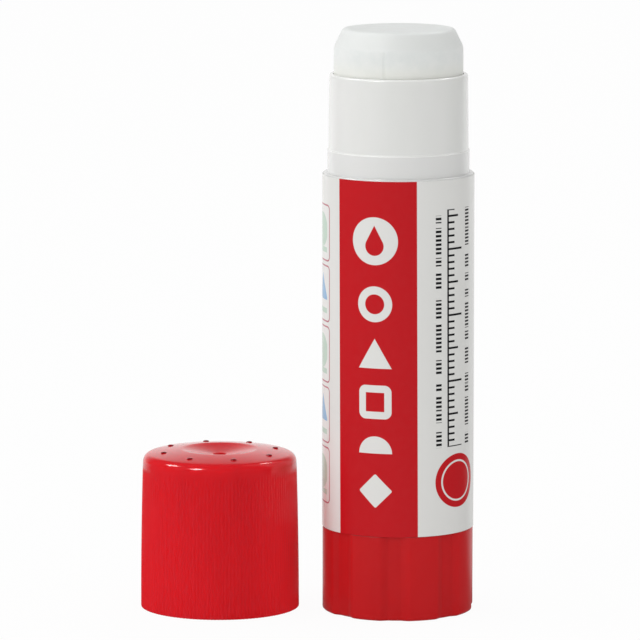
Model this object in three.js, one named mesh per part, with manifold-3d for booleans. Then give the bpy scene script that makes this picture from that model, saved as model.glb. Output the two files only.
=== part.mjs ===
// A twist-up glue stick, standing open with its cap beside it, glue wound a little way out.
// Millimetres, +Z up. The origin is the centre of the knob's flat underside.
// Clock angles are in degrees about +Z: 0 faces the front (-Y) and 90 faces +X.

import * as THREE from "three";
import { mergeVertices } from "three/addons/utils/BufferGeometryUtils.js";
import Module from "manifold-3d";

const wasm = await Module();
wasm.setup();

// Barrel: body, shoulder, band and neck outside, bore and floor inside
const boreRadius = 9.82;
const bodyWall = 1.54;
const bodyLength = 54.1;
const shoulderRound = 0.22;
const neckWall = 0.64;
const neckTaper = 0.12;
const neckLength = 14.9;
const bandStep = 0.14;
const bandHeight = 3.5;
const mouthRound = 0.36;
const mouthLeadIn = 0.08;
const spigotInset = 1.36;
const spigotLength = 4.2;
const spigotWall = 1.2;
const boreFootRise = 1.3;
const boreFootCone = 0.9;
const barrelFloor = 1.4;
const rimGap = 0.1;

// Key ribs in the bore, which stop the carrier and the glue from turning
const keyCount = 4;
const keyWidth = 0.5;
const keyHeight = 0.3;
const keyAngle = -12;
const keyBelowMouth = 1.0;

// Label film, wrapped once round the body with its seam at the back
const filmThickness = 0.09;
const filmGap = 0.03;
const filmMargin = 0.1;
const filmSeam = 180;
const filmSteps = 54;
const filmOverlapSteps = 3;

// Knob: fluted skirt, floor and hub
const knobHeight = 12.7;
const knobOverhang = 0.1;
const knobFloor = 1.3;
const knobCorner = 0.7;
const knobRimRound = 0.2;
const skirtClearance = 0.3;
const fluteCount = 8;
const fluteWidth = 16.5;
const fluteWall = 5;
const fluteDepth = 0.5;
const fluteTurn = -3.5;
const hubRadius = 5.0;
const hubGap = 0.3;

// Spindle: thread, collar, journal, snap barb and splined foot
const threadRadius = 3.3;
const threadDepth = 0.8;
const threadLead = 5.0;
const threadCrest = 1.2;
const threadFlank = 0.3;
const threadFlat = 2.95;
const spindleBelowMouth = 9.2;
const spindleTip = 0.6;
const collarRadius = 5.5;
const collarThickness = 1.25;
const journalRadius = 3.5;
const journalClearance = 0.1;
const endPlay = 0.05;
const barbBite = 0.3;
const barbLength = 1.25;
const footRadius = 3.0;
const splineCount = 12;
const splineDepth = 0.4;
const socketClearance = 0.06;
const socketFloorGap = 0.2;

// Carrier: nut tube, plate, sliding skirt and the cup that holds the glue's foot
const carrierClearance = 0.12;
const carrierRelief = 0.15;
const carrierSkirtWall = 1.0;
const carrierSkirt = 8.0;
const carrierPlate = 1.2;
const cupWall = 0.85;
const cupDepth = 4.0;
const lipHeight = 0.8;
const nutWall = 1.05;
const nutClearance = 0.25;
const nutTurns = 1.25;
const nutGap = 0.5;
const seatGap = 0.2;
const keywayClearance = 0.15;
const webCount = 8;
const webThickness = 0.8;
const webHeight = 3.5;

// Glue column, and how far it is wound up from its lowest place
const glueClearance = 0.08;
const glueSeat = 0.05;
const glueRecess = 1.7;
const glueChamferHeight = 2.74;
const glueChamferInset = 1.32;
const glueBoreClearance = 0.35;
const glueOverSpindle = 0.46;
const woundUp = 8.5;

// Cap: tapered ribbed skirt, round shoulder and domed crown with a shallow dish. It stands beside
// the knob and a little behind it.
const capGap = 3.45;
const capBehind = 2.0;
const capHeight = 24.25;
const capWall = 1.27;
const capDraft = 0.0153;
const capBoreClearance = 0.06;
const capLand = 4.0;
const capShoulder = 1.25;
const capCrown = 1.15;
const crownRadius = 50;
const capRibs = 136;
const capRibDepth = 0.12;
const capRibRunout = 2.0;
const capRibMargin = 0.3;
const dishRadius = 5.75;
const dishDepth = 0.85;
const dishRimRound = 0.15;
const gateRadius = 0.95;
const gateDepth = 0.2;
const pipCount = 8;
const pipAngle = 14.8;
const pipRingRadius = 8.75;
const pipRadius = 0.42;
const pipHeight = 0.33;
const stopWidth = 0.8;
const stopReach = 0.86;
const stopClearance = 0.2;

// Facets round a full turn
const smoothSides = 48;
const coreSides = 16;
const threadSides = 10;
const capSides = capRibs / 2;

// Barrel sizes that follow
const bodyRadius = boreRadius + bodyWall;
const neckTopRadius = boreRadius + neckWall;
const neckFootRadius = neckTopRadius + neckTaper;
const bandRadius = neckFootRadius + bandStep;
const bodyFoot = knobHeight + rimGap;
const shoulderZ = bodyFoot + bodyLength;
const bandTop = shoulderZ + bandHeight;
const mouthZ = shoulderZ + neckLength;
const spigotFoot = bodyFoot - spigotLength;
const spigotRadius = bodyRadius - spigotInset;
const spigotBore = spigotRadius - spigotWall;
const floorTop = spigotFoot + barrelFloor;
const boreFoot = bodyFoot + boreFootRise;
const holeRadius = journalRadius + journalClearance;

// Spindle sizes that follow
const collarFoot = floorTop + endPlay;
const collarTop = collarFoot + collarThickness;
const barbTop = spigotFoot - endPlay;
const barbFoot = barbTop - barbLength;
const barbRadius = holeRadius + barbBite;
const coreRadius = threadRadius - threadDepth;
const spindleTop = mouthZ - spindleBelowMouth;

// Carrier and glue sizes that follow, with the carrier wound up to where it stands
const nutFoot = collarTop + nutGap + woundUp;
const carrierFoot = boreFoot + seatGap + woundUp;
const plateFoot = carrierFoot + carrierSkirt;
const plateTop = plateFoot + carrierPlate;
const cupTop = plateTop + cupDepth;
const carrierRadius = boreRadius - carrierClearance;
const carrierSide = carrierRadius - carrierRelief;
const cupBore = carrierSide - cupWall;
const nutBore = threadRadius + nutClearance;
const nutRadius = nutBore + nutWall;
const glueRadius = boreRadius - glueClearance;
const glueTop = mouthZ - glueRecess + woundUp;
const glueBoreTop = spindleTop + glueOverSpindle + woundUp;

// Cap sizes that follow
const capBore = bandRadius + capBoreClearance;
const capFootRadius = capBore + capWall;
const capRadiusAt = (z) => capFootRadius - capDraft * z;
const dishRim = dishRadius + dishRimRound;
const crownCentre = capHeight - Math.sqrt(crownRadius ** 2 - dishRim ** 2);
const crownAt = (radius) => crownCentre + Math.sqrt(crownRadius ** 2 - radius ** 2);
const knobRadius = bodyRadius + filmGap + filmThickness + knobOverhang;
const capX = -(knobRadius + capGap + capFootRadius);

// A point at a radius, clock angle and height
function polar(radius, degrees, z = 0) {
  const angle = THREE.MathUtils.degToRad(degrees);
  return new THREE.Vector3(radius * Math.sin(angle), -radius * Math.cos(angle), z);
}

// Points of a quarter arc between two clock directions of a profile, as [radius, z] pairs
function arc(centreR, centreZ, radius, from, to, steps) {
  return Array.from({ length: steps + 1 }, (_, i) => {
    const angle = THREE.MathUtils.degToRad(from + ((to - from) * i) / steps);
    return [centreR + radius * Math.cos(angle), centreZ + radius * Math.sin(angle)];
  });
}

// Merges shared corners, drops collapsed faces and turns the faces outward
function tidy(geometry) {
  const bare = geometry.clone();
  bare.deleteAttribute("normal");
  bare.deleteAttribute("uv");
  const merged = mergeVertices(bare, 1e-4);
  const corners = merged.index.array;
  const position = merged.attributes.position;
  const kept = [];
  const a = new THREE.Vector3();
  const b = new THREE.Vector3();
  const c = new THREE.Vector3();
  let volume = 0;
  for (let i = 0; i < corners.length; i += 3) {
    const [p, q, r] = corners.slice(i, i + 3);
    if (p === q || q === r || r === p) continue;
    kept.push(p, q, r);
    a.fromBufferAttribute(position, p);
    b.fromBufferAttribute(position, q);
    c.fromBufferAttribute(position, r);
    volume += a.dot(b.cross(c));
  }
  if (volume < 0) kept.reverse();
  merged.setIndex(kept);
  return merged;
}

function toSolid(geometry) {
  const closed = tidy(geometry);
  return new wasm.Manifold(
    new wasm.Mesh({
      numProp: 3,
      vertProperties: closed.attributes.position.array,
      triVerts: new Uint32Array(closed.index.array),
    }),
  );
}

function toGeometry(solid) {
  const mesh = solid.getMesh();
  const geometry = new THREE.BufferGeometry();
  geometry.setAttribute("position", new THREE.BufferAttribute(mesh.vertProperties, 3));
  geometry.setIndex(new THREE.BufferAttribute(mesh.triVerts, 1));
  return geometry;
}

const join = (first, ...others) => others.reduce((sum, each) => sum.add(each), first);
const cut = (first, ...others) => others.reduce((rest, each) => rest.subtract(each), first);

// Turns a profile of [radius, z] pairs about +Z
function revolve(profile, sides) {
  const points = profile.map(([radius, z]) => new THREE.Vector2(radius, z));
  const geometry = new THREE.LatheGeometry(points, sides);
  geometry.rotateX(Math.PI / 2);
  return geometry;
}

// The same for a profile that comes back to its first point
function revolveRing(profile, sides) {
  return revolve([...profile, profile[0]], sides);
}

// One ring of points round +Z, by rising clock angle. The radius may vary with the angle.
function ring(radius, z, sides, turn = 0) {
  const radiusAt = typeof radius === "function" ? radius : () => radius;
  return Array.from({ length: sides }, (_, i) => {
    const degrees = turn + (360 * i) / sides;
    return polar(radiusAt(degrees), degrees, z);
  });
}

// Skins a stack of rings into one closed body, from one point on the axis to another. A ring may have
// a whole multiple of its neighbour's points.
function loft(rings) {
  const points = rings.flat();
  const faces = [];
  let start = 0;
  for (let k = 0; k + 1 < rings.length; k += 1) {
    const low = rings[k].length;
    const high = rings[k + 1].length;
    const steps = Math.max(low, high);
    const lowAt = (i) => start + (Math.round((i * low) / steps) % low);
    const highAt = (i) => start + low + (Math.round((i * high) / steps) % high);
    for (let i = 0; i < steps; i += 1) {
      faces.push(lowAt(i), highAt(i), highAt(i + 1));
      faces.push(lowAt(i), highAt(i + 1), lowAt(i + 1));
    }
    start += low;
  }
  const geometry = new THREE.BufferGeometry().setFromPoints(points);
  geometry.setIndex(faces);
  return geometry;
}

// An upright block centred on a clock angle, from one radius to another
function radialBlock(inner, outer, width, foot, top, degrees) {
  const block = new THREE.BoxGeometry(width, outer - inner, top - foot);
  block.translate(0, -(inner + outer) / 2, (foot + top) / 2);
  block.rotateZ(THREE.MathUtils.degToRad(degrees));
  return block;
}

function blocksAround(count, turn, inner, outer, width, foot, top) {
  return Array.from({ length: count }, (_, i) =>
    toSolid(radialBlock(inner, outer, width, foot, top, turn + (360 * i) / count)),
  );
}

// A left-handed helical ridge: it climbs as the clock angle falls. Its root is buried in the wall that
// carries it, and it fades in and out over a sixth of a turn. The shift moves it along the axis.
function helicalRidge(buried, crest, rootWidth, crestWidth, foot, top, shift) {
  const turns = (top - foot) / threadLead;
  const steps = Math.ceil(turns * threadSides);
  const fade = 1 / 6;
  const points = [];
  for (let i = 0; i <= steps; i += 1) {
    const turn = (turns * i) / steps;
    const z = foot + threadLead * turn;
    const degrees = (-360 * (z + shift)) / threadLead;
    const rise = Math.min(1, turn / fade, (turns - turn) / fade);
    const reach = buried + (crest - buried) * (0.1 + 0.9 * rise);
    points.push(polar(buried, degrees, z - rootWidth / 2));
    points.push(polar(reach, degrees, z - crestWidth / 2));
    points.push(polar(reach, degrees, z + crestWidth / 2));
    points.push(polar(buried, degrees, z + rootWidth / 2));
  }
  const faces = [0, 1, 2, 0, 2, 3];
  for (let i = 0; i < steps; i += 1) {
    for (let side = 0; side < 4; side += 1) {
      const a = 4 * i + side;
      const b = 4 * i + ((side + 1) % 4);
      faces.push(a, a + 4, b + 4, a, b + 4, b);
    }
  }
  const last = 4 * steps;
  faces.push(last, last + 2, last + 1, last, last + 3, last + 2);
  const geometry = new THREE.BufferGeometry().setFromPoints(points);
  geometry.setIndex(faces);
  return geometry;
}

// Upright star-shaped prism, the section of the splined foot and of its socket
function splinePrism(tip, root, foot, top) {
  const outline = [];
  const pitch = 360 / splineCount;
  for (let i = 0; i < splineCount; i += 1) {
    outline.push(polar(root, pitch * (i - 0.32)), polar(tip, pitch * (i - 0.18)));
    outline.push(polar(tip, pitch * (i + 0.18)), polar(root, pitch * (i + 0.32)));
  }
  const shape = new THREE.Shape(outline.map((point) => new THREE.Vector2(point.x, point.y)));
  const prism = new THREE.ExtrudeGeometry(shape, { depth: top - foot, bevelEnabled: false });
  prism.translate(0, 0, foot);
  return prism;
}

// How far the knob is cut in at a clock angle: steep rounded flute walls between plain lands
function fluteCut(degrees) {
  const pitch = 360 / fluteCount;
  const turned = (degrees - fluteTurn) / pitch;
  const fromCentre = Math.abs(turned - Math.round(turned)) * pitch;
  const from = (fluteWidth - fluteWall) / 2;
  const across = THREE.MathUtils.smoothstep(fromCentre, from, from + fluteWall);
  return fluteDepth * (1 - across);
}

// Points round the fluted skirt, packed closer at the flute walls
function flutedRing(radius, z) {
  const pitch = 360 / fluteCount;
  const from = (fluteWidth - fluteWall) / 2;
  const wallTop = from + fluteWall;
  const halfway = (wallTop + pitch / 2) / 2;
  const side = [from, from + fluteWall / 3, from + (fluteWall * 2) / 3, wallTop, halfway];
  const angles = [-pitch / 2, ...side.map((angle) => -angle).reverse(), 0, ...side];
  const points = [];
  for (let i = 0; i < fluteCount; i += 1) {
    for (const angle of angles) {
      const degrees = fluteTurn + i * pitch + angle;
      points.push(polar(radius - fluteCut(degrees), degrees, z));
    }
  }
  return points;
}

function makeKnob() {
  const sides = fluteCount * 12;
  const turn = fluteTurn - 180 / fluteCount;
  const skirtBore = spigotRadius + skirtClearance;
  const hubTop = spigotFoot - hubGap;
  const innerFillet = 0.6;
  const corner = arc(knobRadius - knobCorner, knobCorner, knobCorner, 0, -90, 3);
  const cup = loft([
    ring(0, hubTop, 1),
    ring(hubRadius - 0.25, hubTop, sides / 3, turn),
    ring(hubRadius, hubTop - 0.25, sides / 3, turn),
    ring(hubRadius, knobFloor + innerFillet, sides / 3, turn),
    ring(hubRadius + innerFillet, knobFloor, sides / 3, turn),
    ring(skirtBore - innerFillet, knobFloor, sides / 2, turn),
    ring(skirtBore, knobFloor + innerFillet, sides / 2, turn),
    ring(skirtBore, knobHeight - knobRimRound, sides / 2, turn),
    ring(skirtBore + knobRimRound, knobHeight, sides / 2, turn),
    flutedRing(knobRadius - knobRimRound, knobHeight),
    flutedRing(knobRadius, knobHeight - knobRimRound),
    ...corner.map(([radius, z]) => flutedRing(radius, z)),
    ring(0, 0, 1),
  ]);
  const tip = footRadius + socketClearance;
  const root = footRadius - splineDepth + socketClearance;
  const mouth = barbRadius + socketClearance;
  const socket = splinePrism(tip, root, knobFloor, hubTop + 1);
  const coneFoot = barbFoot - socketFloorGap;
  const leadIn = revolve([[0, coneFoot], [tip, coneFoot], [mouth, hubTop], [mouth, hubTop + 1], [0, hubTop + 1]], coreSides);
  return toGeometry(cut(toSolid(cup), toSolid(socket), toSolid(leadIn)));
}

function makeSpindle() {
  const footZ = knobFloor + socketFloorGap;
  const splineTop = barbFoot - socketFloorGap;
  const root = footRadius - splineDepth;
  const rod = revolve(
    [
      [0, footZ],
      [root - 0.3, footZ],
      [root, footZ + 0.3],
      [root, barbFoot],
      [barbRadius, barbTop - 0.3],
      [barbRadius, barbTop],
      [journalRadius, barbTop],
      [journalRadius, collarFoot],
      [collarRadius - 0.15, collarFoot],
      [collarRadius, collarFoot + 0.15],
      [collarRadius, collarTop - 0.3],
      [collarRadius - 0.3, collarTop],
      [coreRadius + 0.3, collarTop],
      [coreRadius, collarTop + 0.3],
      [coreRadius, spindleTop - spindleTip],
      [coreRadius - spindleTip, spindleTop],
      [0, spindleTop],
    ],
    coreSides,
  );
  const buried = coreRadius - 0.35;
  const rootWidth = threadCrest + 2 * threadFlank * (1 + 0.35 / threadDepth);
  const threadFoot = collarTop + 0.8;
  const threadTop = spindleTop - spindleTip - threadCrest / 2;
  const thread = helicalRidge(buried, threadRadius, rootWidth, threadCrest, threadFoot, threadTop, 0);
  const flats = blocksAround(2, 90, threadFlat, threadFlat + 2, 12, collarTop + 0.1, spindleTop + 1);
  const splines = splinePrism(footRadius, root - 0.05, footZ + 0.4, splineTop);
  return toGeometry(cut(join(toSolid(rod), toSolid(splines), toSolid(thread)), ...flats));
}

function makeBarrel() {
  const chamfer = 0.3;
  const tube = revolveRing(
    [
      [spigotRadius - chamfer, spigotFoot],
      [spigotRadius, spigotFoot + chamfer],
      [spigotRadius, bodyFoot],
      [bodyRadius - 0.2, bodyFoot],
      [bodyRadius, bodyFoot + 0.2],
      ...arc(bodyRadius - shoulderRound, shoulderZ - shoulderRound, shoulderRound, 0, 90, 2),
      [bandRadius, shoulderZ],
      [bandRadius, bandTop - bandStep],
      [neckFootRadius, bandTop],
      ...arc(neckTopRadius - mouthRound, mouthZ - mouthRound, mouthRound, 0, 90, 2),
      [boreRadius + mouthLeadIn, mouthZ],
      [boreRadius, mouthZ - mouthLeadIn * 2],
      [boreRadius, boreFoot],
      [spigotBore, boreFoot - boreFootCone],
      [spigotBore, floorTop + chamfer],
      [spigotBore - chamfer, floorTop],
      [holeRadius + 0.2, floorTop],
      [holeRadius, floorTop - 0.2],
      [holeRadius, spigotFoot],
    ],
    smoothSides,
  );
  const keyFoot = boreFoot - boreFootCone / 2;
  const keyTop = mouthZ - keyBelowMouth;
  const inner = boreRadius - keyHeight;
  const keys = blocksAround(keyCount, keyAngle, inner, boreRadius + neckWall / 2, keyWidth, keyFoot, keyTop);
  return toGeometry(join(toSolid(tube), ...keys));
}

// Section of the film: once round the body, then lifted onto its own start at the seam
function makeLabel() {
  const first = bodyRadius + filmGap;
  const second = first + filmThickness + filmGap;
  const inside = [];
  const outside = [];
  for (let i = 0; i <= filmSteps + filmOverlapSteps; i += 1) {
    const degrees = filmSeam + (360 * i) / filmSteps;
    const radius = i < filmSteps ? first : second;
    inside.push(polar(radius, degrees));
    outside.push(polar(radius + filmThickness, degrees));
  }
  const outline = [...outside, ...inside.reverse()].map((point) => new THREE.Vector2(point.x, point.y));
  const foot = bodyFoot + filmMargin;
  const top = shoulderZ - shoulderRound;
  const film = new THREE.ExtrudeGeometry(new THREE.Shape(outline), { depth: top - foot, bevelEnabled: false });
  film.translate(0, 0, foot);
  return tidy(film);
}

function makeCarrier() {
  const lip = carrierRadius - carrierSide;
  const edge = 0.2;
  const body = revolveRing(
    [
      [nutBore, nutFoot],
      [nutRadius - edge, nutFoot],
      [nutRadius, nutFoot + edge],
      [nutRadius, plateFoot],
      [carrierSide - carrierSkirtWall, plateFoot],
      [carrierSide - carrierSkirtWall, carrierFoot],
      [carrierRadius - lip / 2, carrierFoot],
      [carrierRadius, carrierFoot + edge],
      [carrierRadius, carrierFoot + lipHeight],
      [carrierSide, carrierFoot + lipHeight + lip],
      [carrierSide, cupTop - lipHeight - lip],
      [carrierRadius, cupTop - lipHeight],
      [carrierRadius, cupTop - edge],
      [carrierRadius - lip / 2, cupTop],
      [cupBore + edge, cupTop],
      [cupBore, cupTop - edge],
      [cupBore, plateTop],
      [nutBore + edge, plateTop],
      [nutBore, plateTop - edge],
    ],
    (smoothSides * 2) / 3,
  );
  const webs = blocksAround(
    webCount,
    keyAngle + 180 / webCount,
    nutRadius - 0.3,
    carrierSide - carrierSkirtWall + 0.3,
    webThickness,
    plateFoot - webHeight,
    plateFoot + 0.3,
  );
  const keywayInner = boreRadius - keyHeight - carrierClearance;
  const keywayWidth = keyWidth + 2 * keywayClearance;
  const keyways = blocksAround(
    keyCount,
    keyAngle,
    keywayInner,
    boreRadius + 1,
    keywayWidth,
    carrierFoot - 1,
    cupTop + 1,
  );
  // The nut's ridge lies midway between two turns of the spindle's thread
  const crest = coreRadius + nutClearance;
  const buried = nutBore + 0.3;
  const space = threadLead - threadCrest - 2 * threadFlank - 2 * nutClearance;
  const crestWidth = space + (2 * threadFlank * (crest - coreRadius)) / threadDepth;
  const rootWidth = space + (2 * threadFlank * (buried - coreRadius)) / threadDepth;
  const ridgeFoot = nutFoot + crestWidth / 2 + 0.3;
  const ridgeTop = ridgeFoot + nutTurns * threadLead;
  const ridge = helicalRidge(buried, crest, rootWidth, crestWidth, ridgeFoot, ridgeTop, threadLead / 2);
  return toGeometry(cut(join(toSolid(body), ...webs, toSolid(ridge)), ...keyways));
}

function makeGlue() {
  const glueBore = threadRadius + glueBoreClearance;
  const footEdge = cupBore - glueSeat;
  const column = revolve(
    [
      [0, glueBoreTop],
      [glueBore - 0.6, glueBoreTop],
      [glueBore, glueBoreTop - 0.6],
      [glueBore, plateTop + glueSeat],
      [footEdge, plateTop + glueSeat],
      [footEdge, cupTop + glueSeat],
      [glueRadius, cupTop + glueSeat],
      [glueRadius, glueTop - glueChamferHeight],
      [glueRadius - glueChamferInset, glueTop],
      [0, glueTop],
    ],
    smoothSides,
  );
  const inner = boreRadius - keyHeight - glueClearance;
  const width = keyWidth + 2 * glueClearance;
  const grooves = blocksAround(keyCount, keyAngle, inner, boreRadius + 1, width, cupTop - 1, glueTop + 1);
  return toGeometry(cut(toSolid(column), ...grooves));
}

function makeCap() {
  // The shoulder's arc touches the side and the crown's dome
  const shoulderR = capRadiusAt(capHeight - capShoulder) - capShoulder;
  const shoulderZero = crownCentre + Math.sqrt((crownRadius - capShoulder) ** 2 - shoulderR ** 2);
  const domeMeets = THREE.MathUtils.radToDeg(Math.atan2(shoulderZero - crownCentre, shoulderR));
  const shoulder = arc(shoulderR, shoulderZero, capShoulder, 0, domeMeets, 4);
  const crownEdge = shoulder[4][0];
  const ribTop = shoulderZero - capRibMargin;
  const ribbed = capRibs * 2;
  const ribAt = (z) => (degrees) => capRadiusAt(z) - capRibDepth * (Math.round((degrees * ribbed) / 360) % 2);
  const boreTop = capFootRadius - capWall - 0.28;
  const crownUnder = crownAt(crownEdge) - capCrown;
  const inner = arc(boreTop - 1.5, crownUnder - 1.5, 1.5, 90, 0, 3);
  const land = [
    [capBore - 0.13, capLand + 0.6],
    [capBore, capLand],
    [capBore, 0.3],
    [capBore + 0.3, 0],
  ];
  // The dish is a shallow bowl inside a softly rounded rim
  const bowl = dishRadius - dishRimRound;
  const dishFloor = capHeight - dishDepth;
  const bowlRadius = (bowl ** 2 + (dishDepth - dishRimRound) ** 2) / (2 * (dishDepth - dishRimRound));
  const bowlAt = (radius) => dishFloor + bowlRadius - Math.sqrt(bowlRadius ** 2 - radius ** 2);
  const crown = [
    [(crownEdge + dishRim) / 2, crownAt((crownEdge + dishRim) / 2)],
    [dishRim, capHeight],
    [dishRadius, capHeight - dishRimRound * 0.3],
    [bowl, bowlAt(bowl)],
    [bowl * 0.7, bowlAt(bowl * 0.7)],
  ];
  const gate = [
    [gateRadius, bowlAt(gateRadius)],
    [gateRadius * 0.8, bowlAt(gateRadius) - gateDepth * 0.8],
  ];
  const shell = loft([
    ring(0, crownUnder, 1),
    ...inner.map(([radius, z]) => ring(radius, z, capSides / 2)),
    ...land.map(([radius, z]) => ring(radius, z, capSides)),
    ring(ribAt(0), 0, ribbed),
    ring(ribAt(ribTop - capRibRunout), ribTop - capRibRunout, ribbed),
    ring(capRadiusAt(ribTop), ribTop, ribbed),
    ...shoulder.map(([radius, z]) => ring(radius, z, capSides)),
    ...crown.map(([radius, z]) => ring(radius, z, capSides)),
    ...gate.map(([radius, z]) => ring(radius, z, capSides / 4)),
    ring(0, dishFloor - gateDepth, 1),
  ]);
  const stopInner = boreTop - stopReach;
  const stopFoot = neckLength + stopClearance;
  const stops = blocksAround(pipCount, pipAngle, stopInner, boreTop + 0.3, stopWidth, stopFoot, crownUnder + 0.3);
  const pips = Array.from({ length: pipCount }, (_, i) => {
    const brow = [[pipRadius, pipHeight * 0.3], [pipRadius * 0.7, pipHeight * 0.8], [0, pipHeight]];
    const dome = [[0, -0.3], [pipRadius, -0.3], ...brow];
    const centre = polar(pipRingRadius, pipAngle + (360 * i) / pipCount, crownAt(pipRingRadius));
    return toSolid(revolve(dome, 8).translate(centre.x, centre.y, centre.z));
  });
  return toGeometry(join(toSolid(shell), ...stops, ...pips));
}

function addPiece(group, name, geometry, color, roughness) {
  const material = new THREE.MeshStandardMaterial({ color, roughness, metalness: 0 });
  const mesh = new THREE.Mesh(geometry, material);
  mesh.name = name;
  group.add(mesh);
  return mesh;
}

const glueStick = new THREE.Group();
addPiece(glueStick, "barrel", makeBarrel(), 0xe4e4e2, 0.35);
addPiece(glueStick, "label", makeLabel(), 0xdedfda, 0.4);
addPiece(glueStick, "knob", makeKnob(), 0xb42127, 0.35);
addPiece(glueStick, "spindle", makeSpindle(), 0xe9e9e6, 0.4);
addPiece(glueStick, "carrier", makeCarrier(), 0xe9e9e6, 0.4);
addPiece(glueStick, "glue", makeGlue(), 0xeef0ee, 0.5);
addPiece(glueStick, "cap", makeCap(), 0xc4222a, 0.3).position.set(capX, capBehind, 0);

export default glueStick;
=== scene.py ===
import math

import bmesh
import bpy
from mathutils import Matrix, Vector, noise


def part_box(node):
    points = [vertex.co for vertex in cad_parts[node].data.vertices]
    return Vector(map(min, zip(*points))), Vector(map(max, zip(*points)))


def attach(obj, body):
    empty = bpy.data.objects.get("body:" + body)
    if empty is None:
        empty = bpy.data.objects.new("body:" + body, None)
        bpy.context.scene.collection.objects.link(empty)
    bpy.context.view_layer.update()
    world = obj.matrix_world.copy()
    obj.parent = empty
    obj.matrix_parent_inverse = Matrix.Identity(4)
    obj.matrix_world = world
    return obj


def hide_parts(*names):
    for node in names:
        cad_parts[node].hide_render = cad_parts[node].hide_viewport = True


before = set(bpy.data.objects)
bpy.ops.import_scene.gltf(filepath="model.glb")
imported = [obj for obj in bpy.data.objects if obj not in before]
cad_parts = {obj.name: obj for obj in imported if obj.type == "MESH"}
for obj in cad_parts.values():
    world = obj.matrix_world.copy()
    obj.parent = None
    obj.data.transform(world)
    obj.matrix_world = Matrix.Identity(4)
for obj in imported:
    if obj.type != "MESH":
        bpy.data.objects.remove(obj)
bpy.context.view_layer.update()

# Twist-up glue stick, open and wound a little way out, with its cap standing beside it.
# Shapes are written in millimetres and clock angles about +Z: 0 at the front (-Y), 90 at +X.

mm = 0.001
merged = 1e-6  # metres: points nearer than this are one
near = 0.01  # millimetres: close enough to be on a surface
sharpAngle = 35  # degrees: an edge that bends more than this stays sharp


def span(node):
    # lowest and highest corner of a CAD node, in millimetres
    low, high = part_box(node)
    return low / mm, high / mm


barrelLow, barrelHigh = span("barrel")
labelLow, labelHigh = span("label")
glueLow, glueHigh = span("glue")
capLow, capHigh = span("cap")

bodyRadius = barrelHigh.x
mouthZ = barrelHigh.z
cupTop = span("carrier")[1].z
capCentre = (capLow + capHigh) / 2


# camera, measured from the photograph: a long lens that looks a little down

view = {
    "focalPixels": 5900,
    "framePixels": 640,
    "sensor": 36,
    "pitch": 8.3,
    "distance": 892.8,
    "aimX": -11.82,
    "aimZ": 44.27,
    "clip": (0.01, 50),  # metres
}


def placeCamera():
    data = bpy.data.cameras.new("camera")
    data.sensor_width = view["sensor"]
    data.sensor_fit = "HORIZONTAL"
    data.lens = view["focalPixels"] / view["framePixels"] * data.sensor_width
    data.clip_start, data.clip_end = view["clip"]
    pitch = math.radians(view["pitch"])
    aim = Vector((view["aimX"], 0, view["aimZ"])) * mm
    away = Vector((0, -math.cos(pitch), math.sin(pitch))) * view["distance"] * mm
    camera = bpy.data.objects.new("camera", data)
    camera.location = aim + away
    camera.rotation_euler = (math.pi / 2 - pitch, 0, 0)
    bpy.context.scene.collection.objects.link(camera)
    bpy.context.scene.camera = camera


placeCamera()
print("camera placed")


# shader maths: an expression on wires adds the nodes


class Wire:
    def __init__(self, finish, socket):
        self.finish = finish
        self.socket = socket

    def calc(self, operation, *others, clamp=False):
        settings = {"operation": operation, "use_clamp": clamp}
        return self.finish.add("ShaderNodeMath", settings, dict(enumerate((self, *others))))

    def __add__(self, other):
        return self.calc("ADD", other)

    def __sub__(self, other):
        return self.calc("SUBTRACT", other)

    def __rsub__(self, other):
        return self.finish.add("ShaderNodeMath", {"operation": "SUBTRACT"}, {0: other, 1: self})

    def __mul__(self, other):
        return self.calc("MULTIPLY", other)

    def __truediv__(self, other):
        return self.calc("DIVIDE", other)

    def __neg__(self):
        return self.calc("MULTIPLY", -1)

    def __abs__(self):
        return self.calc("ABSOLUTE")

    def __or__(self, other):
        return self.calc("MAXIMUM", other)

    def __and__(self, other):
        return self.calc("MINIMUM", other)

    __radd__ = __add__
    __rmul__ = __mul__

    def ramp(self, low, high, toLow=0.0, toHigh=1.0):
        # a smooth step between two values
        values = {0: self, 1: low, 2: high, 3: toLow, 4: toHigh}
        return self.finish.add("ShaderNodeMapRange", {"interpolation_type": "SMOOTHSTEP"}, values)

    def spread(self, toLow=0.0, toHigh=1.0):
        # stretches noise, which keeps near 0.5, over the whole range
        return self.ramp(0.3, 0.7, toLow, toHigh)

    def mixed(self, other, share):
        # this wire's share, and the rest from the other
        return self * share + other * (1 - share)


def anyOf(wires):
    # the highest of several masks
    highest, *others = wires
    for other in others:
        highest = highest | other
    return highest


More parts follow.
